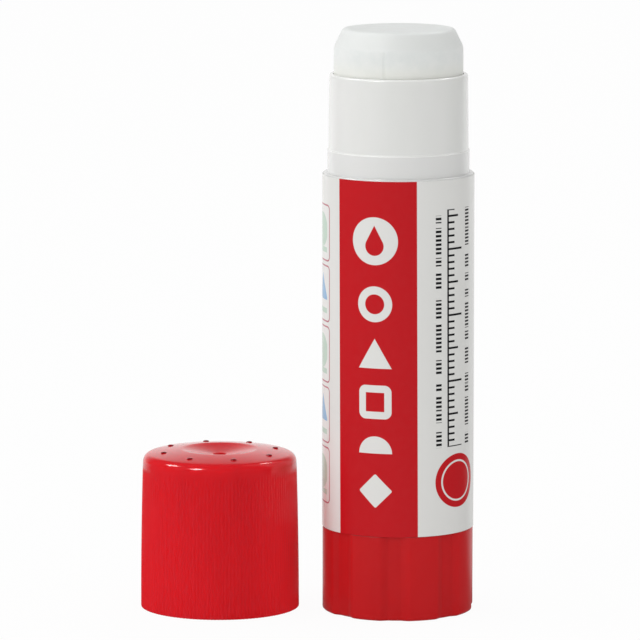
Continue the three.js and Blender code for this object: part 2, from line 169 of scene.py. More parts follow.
class Finish:
    # a node tree that is filled through one method

    def __init__(self, tree):
        self.tree = tree
        self.tree.nodes.clear()

    def add(self, kind, settings=None, values=None, output=0):
        node = self.tree.nodes.new(kind)
        for key, value in (settings or {}).items():
            setattr(node, key, value)
        for key, value in (values or {}).items():
            if isinstance(value, Wire):
                self.tree.links.new(value.socket, node.inputs[key])
            else:
                node.inputs[key].default_value = value
        return Wire(self, node.outputs[output]) if node.outputs else None

    def place(self):
        # object coordinates in millimetres
        metres = self.add("ShaderNodeTexCoord", output="Object")
        values = {0: metres, "Scale": 1 / mm}
        return self.add("ShaderNodeVectorMath", {"operation": "SCALE"}, values)

    def part(self, vector, axis):
        return self.add("ShaderNodeSeparateXYZ", None, {0: vector}, axis)

    def parts(self, vector):
        return [self.part(vector, axis) for axis in "XYZ"]

    def upright(self, vector, factor):
        # squeezes a pattern in height, or draws it out with a factor below 1
        values = {0: vector, 1: (1, 1, factor)}
        return self.add("ShaderNodeVectorMath", {"operation": "MULTIPLY"}, values)

    def grain(self, vector, size, detail, rough=0.5):
        # noise about 0.5, with features of the given size in millimetres
        values = {"Vector": vector, "Scale": 1 / size, "Detail": detail, "Roughness": rough}
        return self.add("ShaderNodeTexNoise", None, values)

    def blend(self, mask, first, second):
        # sockets 6 and 7 are a colour mix's two colours, and output 2 is its result
        settings = {"data_type": "RGBA", "clamp_factor": True}
        return self.add("ShaderNodeMix", settings, {0: mask, 6: first, 7: second}, 2)

    def bump(self, height, strength, distance):
        values = {"Strength": strength, "Distance": distance * mm, "Height": height}
        return self.add("ShaderNodeBump", None, values)


def srgb(red, green, blue):
    # a screen colour, each part from 0 to 255
    return (*(((c / 255 + 0.055) / 1.055) ** 2.4 for c in (red, green, blue)), 1)


def material(name, constants, paint):
    # paint fills the tree and returns what varies over the surface
    made = bpy.data.materials.new(name)
    made.use_nodes = True
    finish = Finish(made.node_tree)
    shader = finish.add("ShaderNodeBsdfPrincipled", None, {**constants, **paint(finish)})
    finish.add("ShaderNodeOutputMaterial", None, {"Surface": shader})
    return made


# red plastic: the knob's solid moulding, and the cap's thin one, which the light gets into

redPlastic = {
    "flowSize": 9.0,
    "flowDraw": 0.35,
    "flowShare": 0.7,
    "mottleSize": 0.9,
    "mottleRough": 0.6,
    "mottleRelief": 0.7,
    "rubSize": 0.35,
    "rubSqueeze": 6,
    "reliefDepth": 0.03,
    "knob": {
        "colours": (srgb(194, 26, 30), srgb(203, 29, 33)),
        "rough": (0.2, 0.27),
        "relief": 0.04,
        "constants": {
            "IOR": 1.49,
            "Specular IOR Level": 0.3,
            "Subsurface Weight": 0.35,
            "Subsurface Radius": (1.0, 0.12, 0.12),
            "Subsurface Scale": 2.5 * mm,
            "Sheen Weight": 0.6,
            "Sheen Roughness": 0.25,
        },
    },
    "cap": {
        "colours": (srgb(213, 32, 40), srgb(223, 35, 44)),
        "rough": (0.1, 0.16),
        "relief": 0.012,
        # painted shade: the pips' darker red
        "paintedPipShade": srgb(140, 16, 28),
        "pipProud": (0.01, 0.04),  # above the dome
        "gate": srgb(205, 24, 32),
        "gateEdge": (0.8, 1.1),  # in squares of the gate's radius
        "crownFrom": (22, 22.5),  # heights
        # painted light: brighter red on the side towards the barrel, fading out below the shoulder
        "paintedLight": srgb(255, 44, 52),
        "paintedLightAcross": (4, 13),
        "paintedLightFade": (20, 22.5),
        "coat": (0.05, 0.42),  # on the ribs and on the crown
        "constants": {
            "IOR": 1.49,
            "Specular IOR Level": 0.12,
            "Coat Roughness": 0.1,
            "Subsurface Weight": 0.7,
            "Subsurface Radius": (1.0, 0.12, 0.12),
            "Subsurface Scale": 4.0 * mm,
        },
    },
}


def paintRed(finish, own):
    look = redPlastic
    point = finish.place()
    flow = finish.grain(finish.upright(point, look["flowDraw"]), look["flowSize"], 3)
    mottle = finish.grain(point, look["mottleSize"], 3, 0.6)
    rub = finish.grain(finish.upright(point, look["rubSqueeze"]), look["rubSize"], 2)
    height = mottle.mixed(rub, look["mottleRelief"])
    return {
        "Base Color": finish.blend(flow.spread().mixed(mottle, look["flowShare"]), *own["colours"]),
        "Roughness": mottle.mixed(rub, look["mottleRough"]).spread(*own["rough"]),
        "Normal": finish.bump(height, own["relief"], look["reliefDepth"]),
    }


def paintKnob(finish):
    return paintRed(finish, redPlastic["knob"])


def paintCap(finish):
    # the ribs are duller than the crown, the pips, which stand above the dome, carry painted shade,
    # and the side that faces the barrel carries painted light against the barrel's shade
    look = redPlastic["cap"]
    made = paintRed(finish, look)
    x, y, z = finish.parts(finish.place())
    across, back = x - capCentre.x, y - capCentre.y
    out = across * across + back * back
    peak = cap["height"] + sphereAt(cap["dish"], cap["crownRadius"])
    proud = z - (peak - out / (2 * cap["crownRadius"]))
    gate = (out * (1 / cap["gate"] ** 2)).ramp(*look["gateEdge"], 1, 0) * z.ramp(*look["crownFrom"])
    # painted light on the side that faces the barrel, where the barrel's shade falls
    side = across.ramp(*look["paintedLightAcross"]) * z.ramp(*look["paintedLightFade"], 1, 0)
    colour = finish.blend(side, made["Base Color"], look["paintedLight"])
    # painted shade on the pips, which stand above the dome
    colour = finish.blend(proud.ramp(*look["pipProud"]), colour, look["paintedPipShade"])
    made["Base Color"] = finish.blend(gate, colour, look["gate"])
    made["Coat Weight"] = z.ramp(cap["ribFull"], cap["ribEnd"], *look["coat"])
    return made


# natural plastic of the barrel: milky, darker on the band, with painted highlights along the rim of
# the mouth and the band's top edge

naturalPlastic = {
    "pale": srgb(234, 234, 232),
    "shade": srgb(230, 231, 228),
    "bandTone": srgb(226, 226, 225),
    "bandToneShare": 0.6,
    "bandToneFade": (0.3, 0.1),  # below and above the band's top
    # painted highlight along the mouth's rim and the band's top edge
    "edge": srgb(245, 245, 243),
    "mouthHighlight": (0.3, 0.1),  # both below the mouth
    "bandHighlight": (0.08, 0.2),  # away from the band's top, both ways
    "flowSize": 6.0,
    "flowDraw": 0.2,
    "flowShare": 0.85,
    "grainSize": 1.2,
    "rough": (0.21, 0.265),
    "flowRelief": 0.9,
    "relief": 0.02,
    "reliefDepth": 0.03,
    "constants": {
        "IOR": 1.49,
        "Specular IOR Level": 0.4,
        "Subsurface Weight": 0.3,
        "Subsurface Radius": (1.0, 1.0, 0.95),
        "Subsurface Scale": 0.4 * mm,
        "Coat Weight": 0.3,
        "Coat Roughness": 0.15,
    },
}


def paintNatural(finish):
    look = naturalPlastic
    point = finish.place()
    z = finish.part(point, "Z")
    flow = finish.grain(finish.upright(point, look["flowDraw"]), look["flowSize"], 2)
    grain = finish.grain(point, look["grainSize"], 2)
    clouds = flow.spread().mixed(grain, look["flowShare"])
    colour = finish.blend(clouds, look["shade"], look["pale"])
    below, above = look["bandToneFade"]
    # darker on the band, fading out across its top
    inBand = z.ramp(barrel["bandTop"] - below, barrel["bandTop"] + above, 1, 0)
    colour = finish.blend(inBand * look["bandToneShare"], colour, look["bandTone"])
    # painted highlight: lighter lines at the mouth's rim and at the band's top edge
    start, end = look["mouthHighlight"]
    atMouth = z.ramp(mouthZ - start, mouthZ - end)
    atBand = abs(z - barrel["bandTop"]).ramp(*look["bandHighlight"], 1, 0)
    height = flow.mixed(grain, look["flowRelief"])
    return {
        "Base Color": finish.blend(atMouth | atBand, colour, look["edge"]),
        "Roughness": grain.spread(*look["rough"]),
        "Normal": finish.bump(height, look["relief"], look["reliefDepth"]),
    }


# white plastic of the spindle and the carrier

whitePlastic = {
    "pale": srgb(236, 236, 233),
    "shade": srgb(226, 226, 222),
    "flowSize": 4.0,
    "grainSize": 0.4,
    "rough": (0.35, 0.5),
    "relief": 0.15,
    "reliefDepth": 0.05,
    "constants": {"IOR": 1.49, "Subsurface Weight": 0.1, "Subsurface Scale": 0.8 * mm},
}


def paintWhite(finish):
    look = whitePlastic
    point = finish.place()
    flow = finish.grain(point, look["flowSize"], 3)
    grain = finish.grain(point, look["grainSize"], 3, 0.6)
    return {
        "Base Color": finish.blend(flow.spread(), look["shade"], look["pale"]),
        "Roughness": grain.spread(*look["rough"]),
        "Normal": finish.bump(grain, look["relief"], look["reliefDepth"]),
    }


# solid glue: cool white, a little moist, cloudy and faintly see-through, warmer where it leaves the
# barrel, with painted shade on the chamfer

solidGlue = {
    "clear": srgb(228, 231, 229),
    "cloudy": srgb(233, 235, 233),
    "cloudSize": 2.2,
    "cloudEdge": (0.35, 0.65),
    "warm": srgb(236, 236, 228),
    "warmShare": 0.6,
    "warmHeight": 3,
    # painted shade: a darker tone on the chamfer, which catches more lamp light
    "worn": srgb(229, 231, 229),
    "chamferShadeFoot": (0.2, 0.4),  # below and above the chamfer's foot
    "chamferShadeTop": (0.4, 0.05),  # both below the top
    "smearSize": 0.8,
    "smearSqueeze": 2.5,
    "rough": (0.4, 0.6),
    "moistEdge": (0.4, 0.6),
    "moist": 0.1,
    "reliefTop": (3.5, 2.0),  # both below the top
    "sideRelief": 0.5,
    "relief": 0.15,
    "reliefDepth": 0.08,
    "constants": {
        "IOR": 1.46,
        "Specular IOR Level": 0.2,
        "Subsurface Weight": 0.6,
        "Subsurface Radius": (1.0, 1.0, 1.0),
        "Subsurface Scale": 1.6 * mm,
        "Coat Roughness": 0.25,
    },
}


def paintGlue(finish):
    look = solidGlue
    point = finish.place()
    z = finish.part(point, "Z")
    top = glueHigh.z
    side = top - glue["chamferHeight"]
    cloud = finish.grain(point, look["cloudSize"], 4, 0.6)
    smear = finish.grain(finish.upright(point, look["smearSqueeze"]), look["smearSize"], 3, 0.6)
    colour = finish.blend(cloud.ramp(*look["cloudEdge"]), look["clear"], look["cloudy"])
    low = z.ramp(mouthZ, mouthZ + look["warmHeight"], 1, 0)
    colour = finish.blend(low * look["warmShare"], colour, look["warm"])
    # painted shade on the chamfer
    below, above = look["chamferShadeFoot"]
    chamfer = z.ramp(side - below, side + above)
    start, end = look["chamferShadeTop"]
    chamfer = chamfer * z.ramp(top - start, top - end, 1, 0)
    start, end = look["reliefTop"]
    upper = z.ramp(top - start, top - end)
    height = smear * (look["sideRelief"] + upper * (1 - look["sideRelief"]))
    return {
        "Base Color": finish.blend(chamfer, colour, look["worn"]),
        "Roughness": smear.spread(*look["rough"]),
        "Coat Weight": cloud.ramp(*look["moistEdge"], 0.0, look["moist"]),
        "Normal": finish.bump(height, look["relief"], look["reliefDepth"]),
    }


# label film: white print with a red panel, plain shapes, a measuring scale and a red oval.
# u runs round the barrel to the right of the front, and v up it, both in millimetres.

label = {
    "lean": 0.0054,
    "leanAbout": 39.7,
    "sharp": 0.06,
    "white": srgb(228, 228, 225),
    "red": srgb(197, 20, 29),
    "ink": srgb(30, 30, 33),
    "frameRed": srgb(186, 110, 122),
    "green": srgb(186, 208, 192),
    "blue": srgb(136, 176, 214),
    "panel": {"left": -10.1, "right": 2.78},
    "shapesU": -3.7,
    "disc": {"v": 57.7, "radius": 3.6},
    "drop": {"below": 0.75, "radius": 1.45, "tip": 3.1},
    "ring": {"v": 48.2, "radius": 2.1, "line": 0.6},
    "triangle": {"v": 40.0, "half": 3.0},
    "square": {"v": 33.4, "half": 2.0, "corner": 0.5, "line": 0.55},
    "dome": {"v": 25.6, "radius": 2.6},
    "diamond": {"v": 19.9, "half": 1.85, "corner": 0.25},
    "frames": {
        "u": -17.2,
        "first": 58.0,
        "pitch": 9.23,
        "count": 5,
        "half": 4.2,
        "corner": 0.75,
        "line": 0.12,
        "inset": 0.9,
    },
    "leaf": {"right": 0.9, "up": 0.4, "radius": 2.6},
    "bar": {"up": -2.6, "halfU": 3.2, "halfV": 0.4},
    "wedge": {"right": 1.2, "up": 0.4, "half": 2.7},
    "oval": {"u": 10.1, "v": 21.03, "halfU": 4.45, "halfV": 4.1, "inset": 1.1, "line": 0.14},
    "scale": {
        "left": 8.05,
        "top": 62.3,
        "bottom": 26.3,
        "line": 0.16,
        "ticks": ((1, 1.35), (5, 2.15), (10, 3.05)),  # how far apart, and how long
    },
    "marks": {
        "columns": ((6.3, 0.5, 1.55), (12.7, 0.6, 1.9)),  # u, half width, marks in a millimetre
        "half": 0.29,
        "breaks": 0.55,
        "broken": 0.4,
        "contrast": 30,
    },
    "waveSize": 5.0,
    "waveDraw": 0.25,
    "waveRelief": 0.85,
    "peelSize": 0.6,
    "rough": (0.2, 0.27),
    "relief": 0.06,
    "reliefDepth": 0.06,
    "constants": {"IOR": 1.5, "Specular IOR Level": 0.35},
}


def inked(distance):
    # 1 inside a shape whose signed distance is given, with a soft edge
    return distance.calc("MULTIPLY_ADD", -1 / label["sharp"], 0.5, clamp=True)


def discAt(u, v, atU, atV, radius):
    across, up = u - atU, v - atV
    return (across * across + up * up).calc("SQRT") - radius


def blockAt(u, v, atU, atV, halfU, halfV, corner=0.0):
    across = abs(u - atU) - (halfU - corner)
    up = abs(v - atV) - (halfV - corner)
    if not corner:
        return across | up
    a, b = across | 0.0, up | 0.0
    return (a * a + b * b).calc("SQRT") + ((across | up) & 0.0) - corner


def triangleAt(u, v, atU, atV, half):
    # a triangle of equal sides that points up, by the sine and the cosine of 60 degrees
    across, up = abs(u - atU), v - atV
    return (across * 0.866 + up * 0.5 - half * 0.5) | (-half * 0.5 - up)


def dropAt(u, v, atU, atV, radius, tip):
    # a disc with straight sides that touch it and meet above it
    across, up = abs(u - atU), v - atV
    lean = radius / tip
    flank = math.sqrt(1 - lean * lean)
    sides = across * flank + up * lean - radius
    return discAt(u, v, atU, atV, radius) & (sides | (across * lean - up * flank))


def diamondAt(u, v, atU, atV, half, corner):
    # a block turned by 45 degrees
    turnedU, turnedV = (u - atU) * 0.7071, (v - atV) * 0.7071
    return blockAt(turnedU + turnedV, turnedV - turnedU, 0, 0, half, half, corner)


def shapesMask(u, v):
    # white disc with a drop, then a column of plain cut-paper shapes
    atU = label["shapesU"]
    disc, drop, ring, triangle = (label[name] for name in ("disc", "drop", "ring", "triangle"))
    square, dome, diamond = (label[name] for name in ("square", "dome", "diamond"))
    cut = inked(dropAt(u, v, atU, disc["v"] - drop["below"], drop["radius"], drop["tip"]))
    squareEdge = blockAt(u, v, atU, square["v"], square["half"], square["half"], square["corner"])
    column = (
        abs(discAt(u, v, atU, ring["v"], ring["radius"])) - ring["line"],
        triangleAt(u, v, atU, triangle["v"], triangle["half"]),
        abs(squareEdge) - square["line"],
        discAt(u, v, atU, dome["v"], dome["radius"]) | (dome["v"] - v),
        diamondAt(u, v, atU, diamond["v"], diamond["half"], diamond["corner"]),
    )
    whole = inked(discAt(u, v, atU, disc["v"], disc["radius"]))
    return anyOf((whole * (1 - cut), *(inked(shape) for shape in column)))


def framesMasks(around, v):
    # rounded frames one above another, by folding the height into one of them: their line, and the
    # green and blue shapes that take turns inside
    frames, leaf, bar, wedge = (label[name] for name in ("frames", "leaf", "bar", "wedge"))
    last, pitch = frames["count"] - 1, frames["pitch"]
    low = frames["first"] - last * pitch
    steps = ((v - low) / pitch).calc("ROUND") | 0
    steps = steps & last
    up = v - low - steps * pitch
    middle, half = frames["u"], frames["half"]
    outline = blockAt(around, up, middle, 0, half, half, frames["corner"])
    line = inked(abs(outline) - frames["line"])
    inside = inked(outline + frames["inset"])
    leafShape = discAt(around, up, middle + leaf["right"], leaf["up"], leaf["radius"])
    barShape = blockAt(around, up, middle, bar["up"], bar["halfU"], bar["halfV"])
    wedgeShape = triangleAt(around, up, middle + wedge["right"], wedge["up"], wedge["half"])
    odd = (steps * 0.5).calc("FRACT") * 2
    green = inside * (inked(leafShape) * (1 - odd) | inked(barShape))
    blue = inside * inked(wedgeShape) * odd
    return line, green, blue


def alongScale(v):
    # 1 between the two ends of the scale
    scale = label["scale"]
    middle = (scale["top"] + scale["bottom"]) / 2
    return inked(abs(v - middle) - (scale["top"] - scale["bottom"]) / 2)


def scaleMask(u, v):
    # ticks every millimetre, longer at five and at ten
    scale = label["scale"]
    up = v - scale["bottom"]
    ticks = []
    for pitch, reach in scale["ticks"]:
        fromTick = abs(up - (up / pitch).calc("ROUND") * pitch) - scale["line"]
        along = abs(u - scale["left"] - reach / 2) - reach / 2
        ticks.append(inked(fromTick | along))
    spine = inked(abs(u - scale["left"]) - scale["line"])
    return anyOf((*ticks, spine)) * alongScale(v)


def marksMask(finish, u, v):
    # two columns of small marks, broken by slow noise
    marks = label["marks"]
    columns = []
    for atU, half, rate in marks["columns"]:
        fromMark = (abs((v * rate).calc("FRACT") - 0.5) - marks["half"]) * (1 / rate)
        values = {"W": v * marks["breaks"] + atU, "Scale": 1.0, "Detail": 0.0}
        slow = finish.add("ShaderNodeTexNoise", {"noise_dimensions": "1D"}, values)
        kept = (slow - marks["broken"]).calc("MULTIPLY", marks["contrast"], clamp=True)
        columns.append(inked((abs(u - atU) - half) | fromMark) * kept)
    return anyOf(columns) * alongScale(v)


def ovalShape(u, v):
    # signed distance from a disc that is drawn out sideways
    oval = label["oval"]
    across = (u - oval["u"]) * (oval["halfV"] / oval["halfU"])
    return discAt(across, v - oval["v"], 0, 0, oval["halfV"])


def paintLabel(finish):
    point = finish.place()
    x, y, z = finish.parts(point)
    around = x.calc("ARCTAN2", -y) * filmRadius
    v = z + around * label["lean"]
    u = around + (z - label["leanAbout"]) * label["lean"]
    left, right = label["panel"]["left"], label["panel"]["right"]
    oval = ovalShape(u, v)
    frameLine, green, blue = framesMasks(around, v)
    layers = (
        (inked(abs(u - (left + right) / 2) - (right - left) / 2), "red"),
        (shapesMask(u, v), "white"),
        (green, "green"),
        (blue, "blue"),
        (frameLine, "frameRed"),
        (inked(oval), "red"),
        (inked(abs(oval + label["oval"]["inset"]) - label["oval"]["line"]), "white"),
        (scaleMask(u, v) | marksMask(finish, u, v), "ink"),
    )
    colour = label["white"]
    for mask, name in layers:
        colour = finish.blend(mask, colour, label[name])
    wave = finish.grain(finish.upright(point, label["waveDraw"]), label["waveSize"], 2)
    peel = finish.grain(point, label["peelSize"], 2)
    height = wave.mixed(peel, label["waveRelief"])
    return {
        "Base Color": colour,
        "Roughness": peel.spread(*label["rough"]),
        "Normal": finish.bump(height, label["relief"], label["reliefDepth"]),
    }


# modelling helpers


def turned(corners, steps, closed=False, segments=4, sectors=8):
    # spins a wire of (radius, z) corners about +Z, and copies that sector round the axis.
    # A third number rounds the corner.
    bm = bmesh.new()
    verts = [bm.verts.new((corner[0] * mm, 0, corner[1] * mm)) for corner in corners]
    for first, second in zip(verts, verts[1:] + verts[: int(closed)]):
        bm.edges.new((first, second))
    for vert, corner in zip(verts, corners):
        if len(corner) > 2:
            bmesh.ops.bevel(
                bm, geom=[vert], offset=corner[2] * mm, segments=segments, profile=0.5,
                affect="VERTICES", material=-1, clamp_overlap=False,
            )
    wire = bm.verts[:] + bm.edges[:]
    sector = 2 * math.pi / sectors
    bmesh.ops.spin(
        bm, geom=wire, cent=(0, 0, 0), axis=(0, 0, 1), angle=sector, steps=steps // sectors,
    )
    made = bm.verts[:] + bm.edges[:] + bm.faces[:]
    for i in range(1, sectors):
        copied = bmesh.ops.duplicate(bm, geom=made)["geom"]
        verts = [item for item in copied if isinstance(item, bmesh.types.BMVert)]
        turn = Matrix.Rotation(sector * i, 3, "Z")
        bmesh.ops.rotate(bm, verts=verts, cent=(0, 0, 0), matrix=turn)
    bmesh.ops.remove_doubles(bm, verts=bm.verts[:], dist=merged)
    bmesh.ops.recalc_face_normals(bm, faces=bm.faces[:])
    return bm


def reshape(bm, change):
    # change(radius, clock, z) gives the new radius and z of a point
    for vert in bm.verts:
        radius = math.hypot(vert.co.x, vert.co.y)
        if radius < merged:
            continue
        clock = math.degrees(math.atan2(vert.co.x, -vert.co.y))
        newRadius, newZ = change(radius / mm, clock, vert.co.z / mm)
        vert.co.x *= newRadius * mm / radius
        vert.co.y *= newRadius * mm / radius
        vert.co.z = newZ * mm


def clockMatrix(clock, radius, z):
    # stands on the circle at a clock angle, local -Y pointing outwards
    turn = Matrix.Rotation(math.radians(clock), 4, "Z")
    return turn @ Matrix.Translation((0, -radius * mm, z * mm))


def addBlocks(bm, count, clock, inner, outer, width, foot, top):
    # upright ribs round the axis, rounded along their edges
    for i in range(count):
        place = clockMatrix(clock + 360 * i / count, (inner + outer) / 2, (foot + top) / 2)
        size = Matrix.Diagonal((width * mm, (outer - inner) * mm, (top - foot) * mm, 1))
        made = bmesh.ops.create_cube(bm, size=1, matrix=place @ size)
        edges = {edge for vert in made["verts"] for edge in vert.link_edges}
        rounding = min(width, outer - inner) * 0.12
        bmesh.ops.bevel(
            bm, geom=list(edges), offset=rounding * mm, segments=2, profile=0.5,
            affect="EDGES", material=-1,
        )


def finishPiece(name, bm, finish, body, node):
    mesh = bpy.data.meshes.new(name)
    bm.to_mesh(mesh)
    bm.free()
    mesh.shade_smooth()
    mesh.set_sharp_from_angle(angle=math.radians(sharpAngle))
    mesh.materials.append(finish)
    piece = bpy.data.objects.new(name, mesh)
    bpy.context.scene.collection.objects.link(piece)
    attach(piece, body)
    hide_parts(node)
    print(name, "made,", len(mesh.polygons), "faces")


def smoothStep(value, low, high):
    share = min(1, max(0, (value - low) / (high - low)))
    return share * share * (3 - 2 * share)


def fromNearest(clock, first, pitch):
    # degrees to the nearest of a row of places that are a pitch apart
    share = (clock - first) / pitch
    return abs(share - round(share)) * pitch


# barrel: spigot, body, shoulder, band, neck and keyed bore

barrel = {
    "bore": 9.82,
    "neckTop": 10.46,
    "neckFoot": 10.58,
    "band": 10.72,
    "bandTop": 70.4,
    "shoulder": labelHigh.z + 0.22,
    "bodyFoot": labelLow.z,
    "spigot": 10.0,
    "spigotBore": 8.8,
    "boreFoot": 14.1,
    "boreStep": 0.9,
    "floor": 1.4,
    "hole": 3.6,
    "keys": {"count": 4, "clock": -13.2, "width": 0.5, "height": 0.3, "root": 0.3},
    "keysBelowMouth": 1.0,
    "keysBelowBore": 0.4,
    "steps": 256,
}


def makeBarrel():
    b, keys = barrel, barrel["keys"]
    foot = barrelLow.z
    corners = [
        (b["spigot"], foot, 0.3),
        (b["spigot"], b["bodyFoot"]),
        (bodyRadius, b["bodyFoot"], 0.2),
        (bodyRadius, b["shoulder"], 0.22),
        (b["band"], b["shoulder"], 0.08),
        (b["band"], b["bandTop"], 0.12),
        (b["neckFoot"], b["bandTop"]),
        (b["neckTop"], mouthZ, 0.36),
        (b["bore"], mouthZ, 0.06),
        (b["bore"], b["boreFoot"], 0.3),
        (b["spigotBore"], b["boreFoot"] - b["boreStep"], 0.3),
        (b["spigotBore"], foot + b["floor"], 0.4),
        (b["hole"], foot + b["floor"], 0.2),
        (b["hole"], foot),
    ]
    bm = turned(corners, b["steps"], closed=True)
    addBlocks(
        bm, keys["count"], keys["clock"], b["bore"] - keys["height"], b["bore"] + keys["root"],
        keys["width"], b["boreFoot"] - b["keysBelowBore"], mouthZ - b["keysBelowMouth"],
    )
    finishPiece("barrel_shell", bm, naturalFinish, "barrel", "barrel")


naturalFinish = material("natural_plastic", naturalPlastic["constants"], paintNatural)
makeBarrel()


# label: a strip wrapped once round the body and lifted onto its own start at the seam

film = {
    "thickness": 0.09,
    "gap": 0.03,
    "up": 0.02,
    "seam": 180,  # this and the next three are in degrees
    "overlap": 15,
    "rise": 5,
    "step": 1.0,
}
filmRadius = bodyRadius + film["gap"] + film["thickness"]


def makeLabel():
    outer = filmRadius
    inner = outer - film["thickness"]
    lift = film["thickness"] + film["gap"]
    bm = bmesh.new()
    foot = barrel["bodyFoot"] + film["up"]
    corners = ((inner, foot), (outer, foot), (outer, labelHigh.z), (inner, labelHigh.z))
    start = clockMatrix(film["seam"], 0, 0)
    verts = [bm.verts.new(start @ Vector((0, -radius * mm, z * mm))) for radius, z in corners]
    edges = [bm.edges.new((verts[i - 1], verts[i])) for i in range(4)]
    turn = Matrix.Rotation(math.radians(film["step"]), 3, "Z")
    reach = inner
    clock = 0.0
    while clock < 360 + film["overlap"]:
        clock += film["step"]
        lifted = inner + lift * smoothStep(clock, 360 - film["rise"], 360)
        grown = bmesh.ops.extrude_edge_only(bm, edges=edges)["geom"]
        edges = [item for item in grown if isinstance(item, bmesh.types.BMEdge)]
        ends = [item for item in grown if isinstance(item, bmesh.types.BMVert)]
        bmesh.ops.rotate(bm, verts=ends, cent=(0, 0, 0), matrix=turn)
        bmesh.ops.scale(bm, verts=ends, vec=(lifted / reach, lifted / reach, 1))
        reach = lifted
    bmesh.ops.holes_fill(bm, edges=bm.edges[:], sides=4)
    bmesh.ops.recalc_face_normals(bm, faces=bm.faces[:])
    finishPiece("label_film", bm, labelFinish, "barrel", "label")


labelFinish = material("label_film", label["constants"], paintLabel)
makeLabel()


# knob: fluted skirt over the spigot, floor, and a hub with a splined socket

knob = {
    "radius": filmRadius + 0.09,
    "corner": 0.7,
    "rim": 0.05,
    "gap": 0.03,
    "floor": 1.3,
    "fillet": 0.6,
    "bore": 10.3,
    "hub": 5.0,
    "hubTop": barrelLow.z - 0.3,
    "socket": 3.06,
    "socketMouth": 3.96,
    "coneFoot": barrelLow.z - 1.5,
    "splines": 12,
    "splineDepth": 0.4,
    "splineFlank": (0.35, 0.65),
    "flutes": 8,
    "fluteClock": -3.5,
    "fluteWidth": 16.5,
    "fluteWall": 8,
    "fluteDepth": 0.5,
    "steps": 480,
}


def fluteCut(clock):
    k = knob
    fromCentre = fromNearest(clock, k["fluteClock"], 360 / k["flutes"])
    start = (k["fluteWidth"] - k["fluteWall"]) / 2
    return k["fluteDepth"] * (1 - smoothStep(fromCentre, start, start + k["fluteWall"]))


def knobShape(radius, clock, z):
    # flutes all round the outside, and splines in the socket
    k = knob
    outside = radius > k["radius"] - k["corner"] - near
    if outside and (radius > k["bore"] + k["fillet"] or z < k["corner"]):
        return radius - fluteCut(clock), z
    if abs(radius - k["socket"]) < near and z > k["floor"] + near:
        wave = 0.5 + 0.5 * math.cos(math.radians(clock * k["splines"]))
        return radius - k["splineDepth"] * smoothStep(1 - wave, *k["splineFlank"]), z
    return radius, z


def makeKnob():
    k = knob
    top = barrel["bodyFoot"] - k["gap"]
    corners = [
        (0, k["floor"]),
        (k["socket"], k["floor"]),
        (k["socket"], k["coneFoot"]),
        (k["socketMouth"], k["hubTop"]),
        (k["hub"], k["hubTop"], 0.25),
        (k["hub"], k["floor"], k["fillet"]),
        (k["bore"], k["floor"], k["fillet"]),
        (k["bore"], top, 0.2),
        (k["radius"], top, k["rim"]),
        (k["radius"], 0, k["corner"]),
        (0, 0),
    ]
    bm = turned(corners, k["steps"], segments=5)
    reshape(bm, knobShape)
    finishPiece("knob_shell", bm, knobFinish, "knob", "knob")


knobFinish = material("red_plastic_knob", redPlastic["knob"]["constants"], paintKnob)
makeKnob()


# glue column: grooved sides, worn chamfer and a bore for the spindle

glue = {
    "radius": 9.74,
    "foot": 8.65,
    "aboveCup": 0.05,
    "bore": 3.65,
    "boreTop": mouthZ - 0.24,
    "chamferHeight": 2.74,
    "chamferInset": 1.32,
    "chamferRows": 8,
    "topRings": (7.6, 6.8, 5.8, 4.6, 3.2, 1.6),
    "grooveDepth": 0.065,
    "grooveClock": -13.2,
    "grooveWidth": 0.4,
    "grooveEdge": 0.12,
    "smear": 0.015,
    "smearSize": 1.4,
    "smearFade": (0.3, 0.5),  # below and above the chamfer's foot
    "steps": 640,
}


def glueShape(radius, clock, z):
    # a groove for each key above the carrier's cup, and a smeared top
    g = glue
    if radius > g["foot"] - 1 and z > cupTop:
        fromCentre = fromNearest(clock, g["grooveClock"], 360 / barrel["keys"]["count"])
        across = math.radians(fromCentre) * radius
        floor = g["radius"] - g["grooveDepth"]
        half, edge = g["grooveWidth"] / 2, g["grooveEdge"]
        cut = 1 - smoothStep(across, half - edge, half + edge)
        radius -= max(0, radius - floor) * cut
    side = glueHigh.z - g["chamferHeight"]
    below, above = g["smearFade"]
    onTop = smoothStep(z, side - below, side + above)
    if onTop and radius > g["bore"] + 1:
        angle = math.radians(clock)
        point = Vector((radius * math.sin(angle), -radius * math.cos(angle), z)) / g["smearSize"]
        worn = g["smear"] * onTop * (0.5 + 0.5 * noise.noise(point))
        radius -= worn
        z -= worn
    return radius, z


def makeGlue():
    g = glue
    top = glueHigh.z
    side = top - g["chamferHeight"]
    seat = cupTop + g["aboveCup"]
    corners = [
        (0, g["boreTop"]),
        (g["bore"], g["boreTop"], 0.6),
        (g["bore"], glueLow.z),
        (g["foot"], glueLow.z),
        (g["foot"], seat),
        (g["radius"], seat),
        (g["radius"], side, 0.7),
    ]
    for i in range(1, g["chamferRows"]):
        share = i / g["chamferRows"]
        inset, up = g["chamferInset"] * share, g["chamferHeight"] * share
        corners.append((g["radius"] - inset, side + up))
    corners.append((g["radius"] - g["chamferInset"], top, 0.35))
    corners += [(radius, top) for radius in (*g["topRings"], 0)]
    bm = turned(corners, g["steps"])
    reshape(bm, glueShape)
    finishPiece("glue_column", bm, glueFinish, "glue", "glue")


glueFinish = material("solid_glue", solidGlue["constants"], paintGlue)
makeGlue()


# cap: ribbed skirt, round shoulder, domed crown with a shallow dish, a gate mark and pips, and stop
# ribs inside

